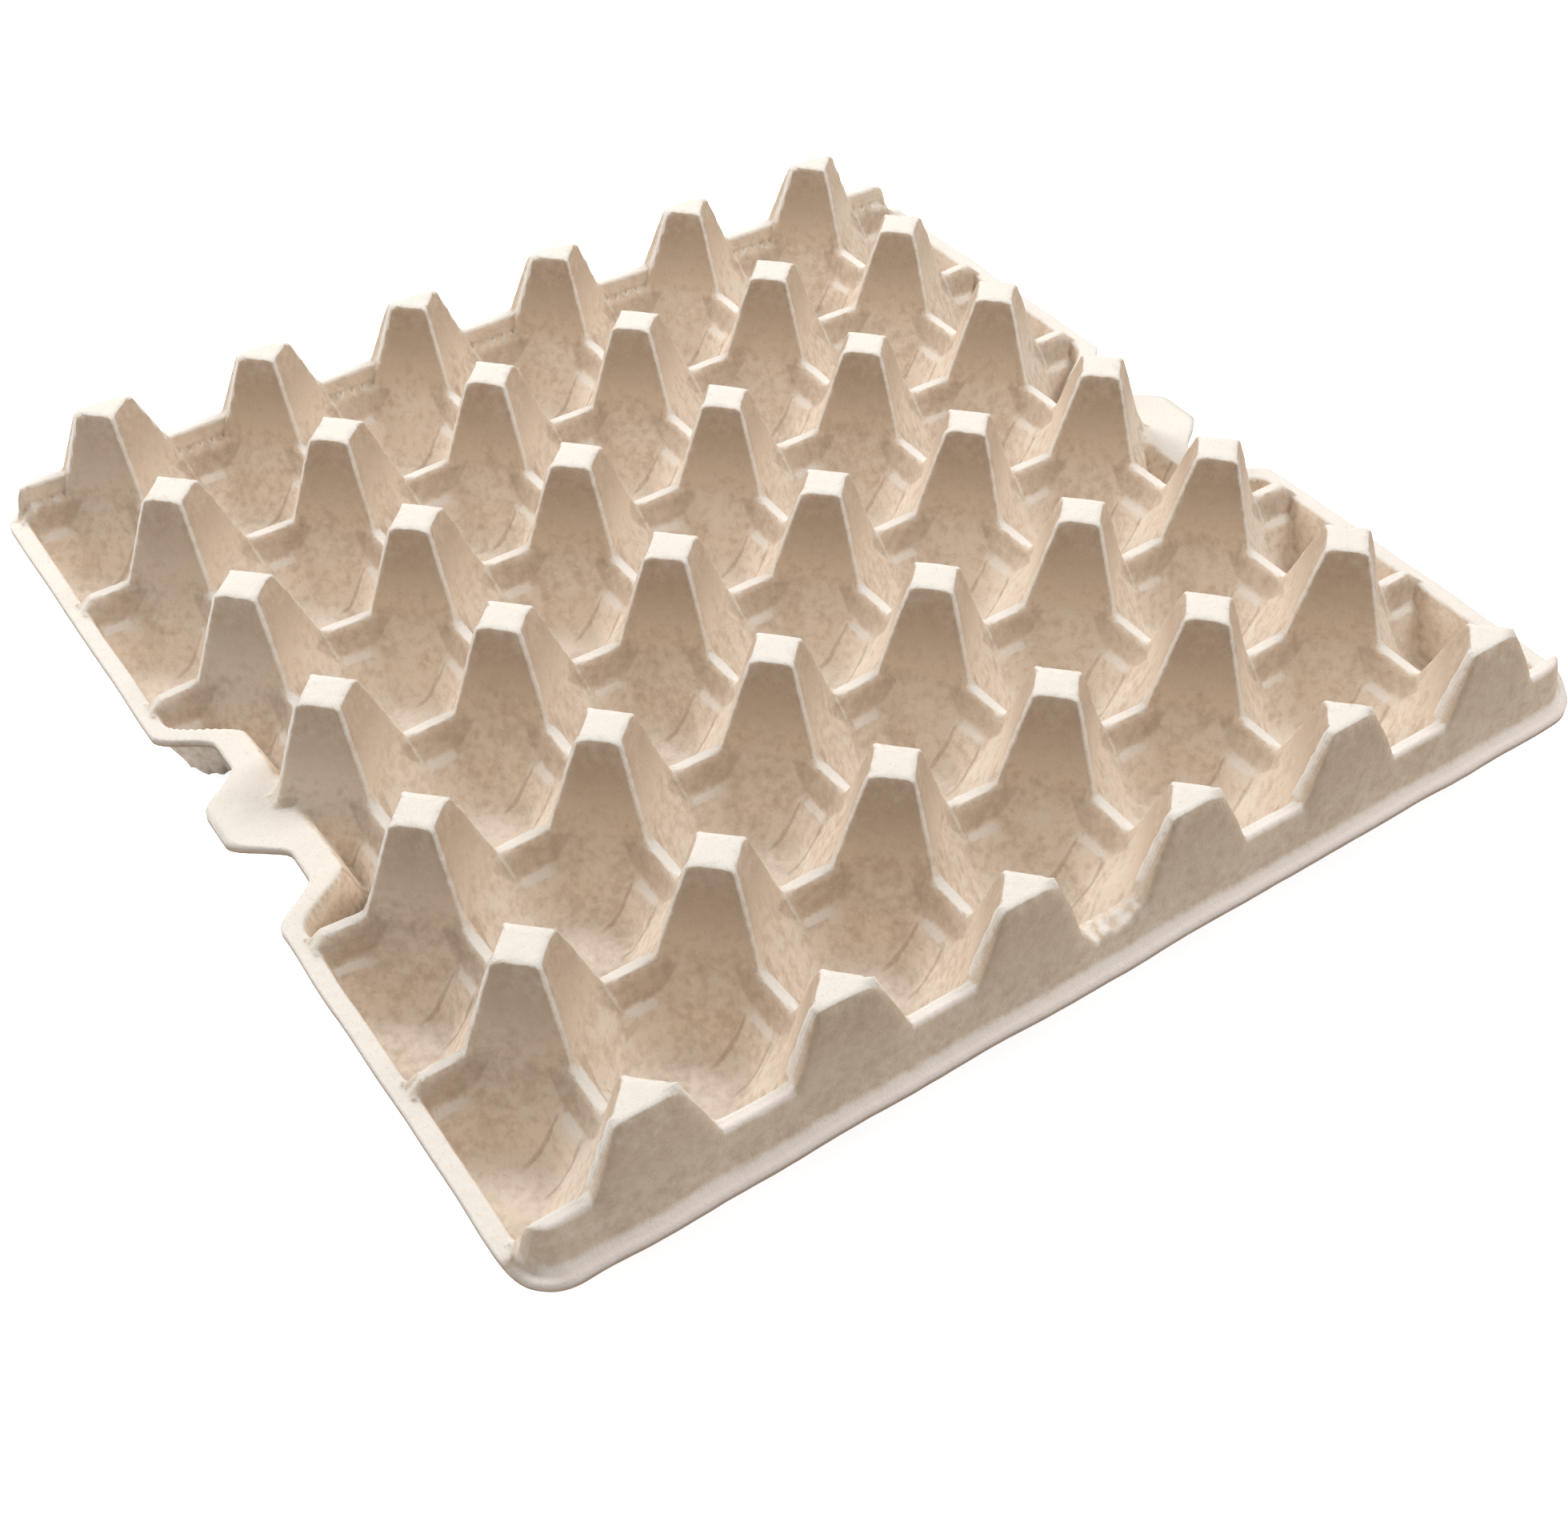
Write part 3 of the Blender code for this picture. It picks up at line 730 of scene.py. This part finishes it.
def pulpMarks(height, hollow, alongX, alongY, mottle):
    # masks from plan coordinates and height: a coordinate's fold about the posts' spacing is its
    # distance from the nearest line of ridges and bars
    look = pulpLook
    ridge = alongX.fold().least(alongY.fold()) * pitch
    outward = (alongY - (trayShape["rows"] - 1) / 2).size() * pitch
    lastRow = outward.between(*[postReachY + past for past in look["pastLastRow"]])
    inside = 1 - outward.between(*[cutLineY + past for past in look["pastCut"]])
    overBars = height.between(*look["barTop"])
    marks = {"outerWall": outward.between(*[cutLineY + past for past in look["ontoWall"]])}
    onRidge = 1 - ridge.between(*look["ridgeLine"])
    marks["ridge"] = onRidge * inside * (1 - lastRow * (1 - overBars))
    marks["strip"] = lastRow * inside * overBars
    onRiser = ridge.within(look["riserAcross"]) * inside
    marks["riser"] = onRiser * height.within(look["riserHeight"])

    fromMiddleX = halfPitch - alongX.fold() * pitch
    fromMiddleY = halfPitch - alongY.fold() * pitch
    onLedge = ridge.within(look["ledgeAcross"]) * height.within(look["ledgeHeight"])
    marks["ledge"] = onLedge * (1 - fromMiddleX.least(fromMiddleY).between(*look["ledgeEnd"]))
    # painted highlight on the left side of the risers on the bars along X: a slanting line from the
    # bar's end to the ledge's end
    slopeX, slopeY, offset = look["sideLine"]
    side = (fromMiddleX * slopeX + fromMiddleY * slopeY + offset).size()
    side = (1 - side.between(*look["sideWidth"])) * fromMiddleY.within(look["sideReach"])
    marks["side"] = side * inside * (1 - alongX.fraction().between(*look["sideHalf"]))
    # painted shade along the fold on the cups' faces
    wander = (mottle - 0.5) * look["foldWander"]
    foldLine = 1 - (fromMiddleY - look["foldAt"] - wander).size().between(*look["foldWidth"])
    foldLine = foldLine * fromMiddleX.within(look["foldReach"])
    # painted shade in the creases, where the skin lies below its surroundings
    marks["crease"] = hollow.between(*look["creaseDepth"]) * inside + foldLine * look["foldDeep"]
    return marks


def pulpMaterial():
    # moulded pulp: mottled body colour, with painted light on tops, ridges, ledges and the flange
    # and paler painted bounce light low in the cups, and painted shade high on the posts, on the
    # outer walls, in the creases, on the risers and along the trimmed edge
    look = pulpLook
    material = bpy.data.materials.new("pulp")
    material.use_nodes = True
    make = NodeMaker(material.node_tree)
    place = make.node("ShaderNodeTexCoord").outputs["Object"]
    hollow, level, trim, alongX, alongY = [
        make.signal("ShaderNodeAttribute", {"attribute_name": name}, output="Fac")
        for name in ("hollow", "level", "trim", "alongX", "alongY")]
    height = make.signal("ShaderNodeSeparateXYZ", None, {"Vector": place}, output="Z")

    def noise(name, vector=place):
        scale, detail, rough = look[name]
        return make.signal("ShaderNodeTexNoise", {"noise_dimensions": "3D"},
                           {"Vector": vector, "Scale": scale, "Detail": detail, "Roughness": rough})

    grain, flock, mottle, cloud = [noise(name) for name in ("grain", "flock", "mottle", "cloud")]
    stretched = make.node("ShaderNodeMapping", None,
                          {"Vector": place, "Scale": look["fibreStretch"]})
    fibre = noise("fibre", stretched.outputs[0])
    crossed = make.node("ShaderNodeMapping", None, {"Vector": place, "Rotation": look["crossTurn"],
                                                    "Scale": look["crossStretch"]})
    crossFibre = noise("crossFibre", crossed.outputs[0])

    marks = pulpMarks(height, hollow, alongX, alongY, mottle)
    mottleShare, cloudShare, flockShare = look["blotches"]
    blotch = (mottle - 0.5) * mottleShare + (cloud - 0.5) * cloudShare + (flock - 0.5) * flockShare
    # painted bounce light: paler colour low in the cups
    low = (look["lowFrom"] - height + blotch * look["lowBlotch"]).between(*look["lowBand"])
    # painted shade: darker colour high on the posts
    high = (height + blotch * look["highBlotch"]).between(*look["highBand"])
    colour = make.mixColour(low * look["lowLightShare"], look["body"], look["lower"])
    colour = make.mixColour(high * look["highShadeShare"], colour, look["upper"])
    # painted shade: browner colour on the outer walls
    colour = make.mixColour(marks["outerWall"] * look["outsideShadeShare"], colour, look["outside"])
    slope, offset = look["blotchDeep"]
    colour = make.mixColour(blotch * slope + offset, colour, look["deep"])
    # painted shade on the risers, in the creases and along the folds
    darkness = marks["riser"] * look["riserDeep"] + marks["crease"] * look["creaseDeep"]
    colour = make.mixColour(darkness, colour, look["deep"])
    # painted light on flat places, plus random paler blotches
    paleness = level * look["levelPaintedLight"] + blotch * look["blotchPale"]
    # painted light on the ridges, edge-bar tops and ledges, and a painted highlight down the
    # risers' left sides
    for name in ("ridge", "strip", "ledge", "side"):
        paleness = paleness + marks[name] * look[name + "Pale"]
    colour = make.mixColour(paleness.between(0.0, 1.0), colour, look["pale"])
    # painted light on the flat flange
    colour = make.mixColour(marks["outerWall"] * level, colour, look["flange"])
    specks = (1 - grain.between(*look["grainSpeck"])) * look["grainDeep"]
    specks = specks + fibre.between(*look["fibreSpeck"]) * look["fibreDeep"]
    colour = make.mixColour(specks, colour, look["deep"])
    crossSpecks = crossFibre.between(*look["crossSpeck"]) * look["crossPale"]
    colour = make.mixColour(crossSpecks, colour, look["pale"])
    # painted contact shadow along the trimmed lower edge
    colour = make.mixColour(trim * look["trimDeep"], colour, look["deep"])

    rough = look["roughness"] + (grain - 0.5) * look["roughSpread"]
    relief = grain * look["relief"][0]
    for pattern, share in zip((flock, mottle, fibre, crossFibre), look["relief"][1:]):
        relief = relief + pattern * share
    bump = make.node("ShaderNodeBump", None, {"Strength": look["bumpStrength"],
                                              "Distance": look["bumpDepth"], "Height": relief})
    shader = make.node("ShaderNodeBsdfPrincipled", None,
                       {"Base Color": colour, "Roughness": rough, "Normal": bump.outputs[0],
                        "Specular IOR Level": look["shine"]})
    make.node("ShaderNodeOutputMaterial", None, {"Surface": shader.outputs[0]})
    return material


# The photograph's own viewpoint
photoView = {
    "spot": (-0.22382, -0.34866, 0.36150),
    "forward": (0.399457, 0.595664, -0.696864),
    "roll": 0.566,  # degrees
    "lens": 47.352,
    "sensorWidth": 36.0,
    "clipStart": 0.01,
}


def setCamera():
    # camera frame: level is forward x up, lift is level x forward, both turned by the roll
    view = photoView
    forward = Vector(view["forward"]).normalized()
    level = forward.cross(Vector((0, 0, 1))).normalized()
    lift = level.cross(forward)
    roll = math.radians(view["roll"])
    right = level * math.cos(roll) - lift * math.sin(roll)
    up = lift * math.cos(roll) + level * math.sin(roll)
    turn = Matrix((right, up, -forward)).transposed().to_4x4()
    data = bpy.data.cameras.new("photoCamera")
    data.lens = view["lens"]
    data.sensor_width = view["sensorWidth"]
    data.sensor_fit = "HORIZONTAL"
    data.clip_start = view["clipStart"]
    camera = bpy.data.objects.new("photoCamera", data)
    camera.matrix_world = Matrix.Translation(view["spot"]) @ turn
    bpy.context.scene.collection.objects.link(camera)
    bpy.context.scene.camera = camera


studio = {
    "world": 0.42,
    "keySpot": (-0.45, 0.95, 0.90),
    "keySize": 0.70,
    "keyPower": 12.0,
    "fillSpot": (0.72, -0.14, 1.05),
    "fillSize": 0.50,
    "fillPower": 7.0,
    "lampColour": (0.98, 1.0, 1.05),
    "lampAim": (0.0, 0.0, 0.03),
    "floorHalf": 4.0,
    "floorColour": (0.88, 0.88, 0.88, 1.0),
    "floorGlow": 0.80,  # added for the camera alone, so the floor reads white and keeps its shadow
}


def areaLamp(name, spot, size, power):
    # round lamp turned towards the middle of the tray
    data = bpy.data.lights.new(name, "AREA")
    data.shape = "DISK"
    data.size = size
    data.energy = power
    data.color = studio["lampColour"]
    lamp = bpy.data.objects.new(name, data)
    aim = (Vector(studio["lampAim"]) - Vector(spot)).to_track_quat("-Z", "Y")
    lamp.matrix_world = Matrix.Translation(spot) @ aim.to_matrix().to_4x4()
    bpy.context.scene.collection.objects.link(lamp)


def setStudio():
    # pale floor, a soft lamp behind the tray and another to its right, and an even world that the
    # camera and reflections see as white
    look = studio
    areaLamp("keyLamp", look["keySpot"], look["keySize"], look["keyPower"])
    areaLamp("fillLamp", look["fillSpot"], look["fillSize"], look["fillPower"])
    world = bpy.data.worlds.new("studioWorld")
    bpy.context.scene.world = world
    world.use_nodes = True
    make = NodeMaker(world.node_tree)
    path = make.node("ShaderNodeLightPath")
    seen = make.signal("ShaderNodeMath", {"operation": "MAXIMUM"},
                       {0: path.outputs["Is Camera Ray"], 1: path.outputs["Is Glossy Ray"]})
    strength = seen * (1 - look["world"]) + look["world"]
    sky = make.node("ShaderNodeBackground", None, {"Color": (1, 1, 1, 1), "Strength": strength})
    make.node("ShaderNodeOutputWorld", None, {"Surface": sky.outputs[0]})

    half = look["floorHalf"]
    corners = np.array([[-half, -half, 0], [half, -half, 0], [half, half, 0], [-half, half, 0]])
    floor = meshFromArrays("studioFloor", corners, np.array([[0, 1, 2], [0, 2, 3]]))
    material = bpy.data.materials.new("paleFloor")
    material.use_nodes = True
    make = NodeMaker(material.node_tree)
    path = make.node("ShaderNodeLightPath")
    diffuse = make.node("ShaderNodeBsdfDiffuse", None, {"Color": look["floorColour"]})
    strength = Signal(make, path.outputs["Is Camera Ray"]) * look["floorGlow"]
    glow = make.node("ShaderNodeEmission", None, {"Color": (1, 1, 1, 1), "Strength": strength})
    both = make.node("ShaderNodeAddShader", None, {0: diffuse.outputs[0], 1: glow.outputs[0]})
    make.node("ShaderNodeOutputMaterial", None, {"Surface": both.outputs[0]})
    floor.data.materials.append(material)


setCamera()
setStudio()
print("camera and studio set")

points, faces, shades = shapeTray()
tray = meshFromArrays("pulpTray", points, faces)
for name, values in shades.items():
    shade = tray.data.attributes.new(name, "FLOAT", "POINT")
    shade.data.foreach_set("value", values.astype(np.float32))
tray.data.materials.append(pulpMaterial())
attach(tray, "root")
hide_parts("tray")
print("tray shaped with", len(faces), "triangles")

bpy.context.scene.view_settings.view_transform = "Standard"
